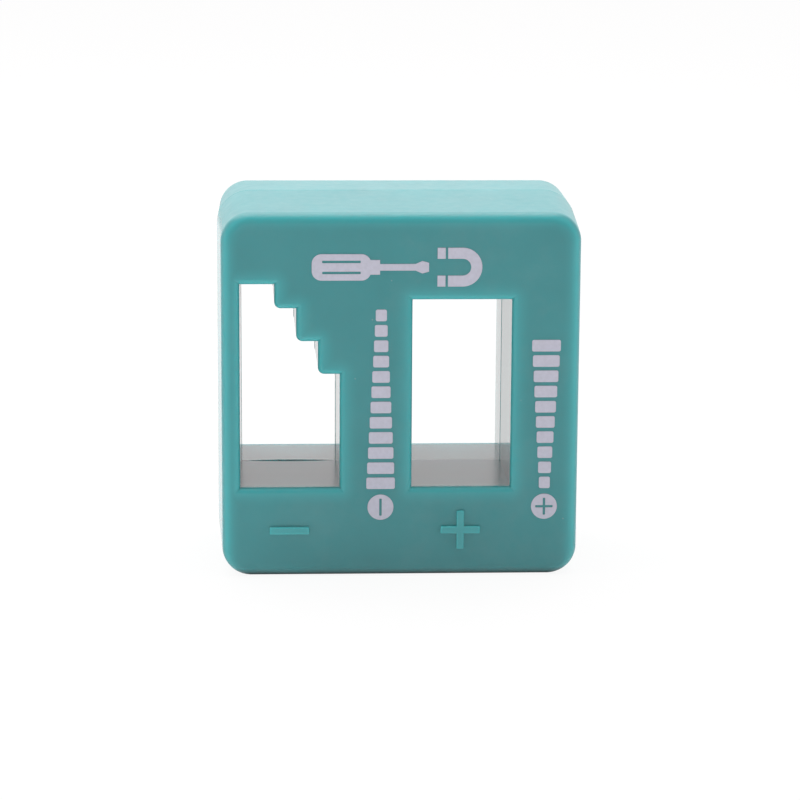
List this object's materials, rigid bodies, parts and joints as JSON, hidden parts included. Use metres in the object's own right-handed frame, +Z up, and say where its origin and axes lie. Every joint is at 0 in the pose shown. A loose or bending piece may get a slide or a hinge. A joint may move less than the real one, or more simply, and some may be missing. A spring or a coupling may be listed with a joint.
{
  "type": "demagnetizer block",
  "caption": "Pocket block with two through windows, one stepped and one plain, beside hidden magnets, for magnetizing and demagnetizing small tools.",
  "frame": {"origin": "centre of the block's footprint, on the surface that it stands on", "axes": "+Z up, along the block's tallest side; the printed front faces -Y, so tools pass through the windows along Y; +X to the right, seen from the front"},
  "size_m": [0.05, 0.028, 0.0512],
  "materials": {
    "housing": "satin",
    "ferrite": "matte",
    "ink": "matte"
  },
  "bodies": {
    "root": {"front_shell": "housing", "rear_cover": "housing", "web_magnet": "ferrite", "side_magnet": "ferrite", "minus_disc": "ink", "plus_disc": "ink", "demagnetize_ladder": "ink", "magnetize_ladder": "ink", "tool_pictogram": "ink"}
  },
  "joints": []
}
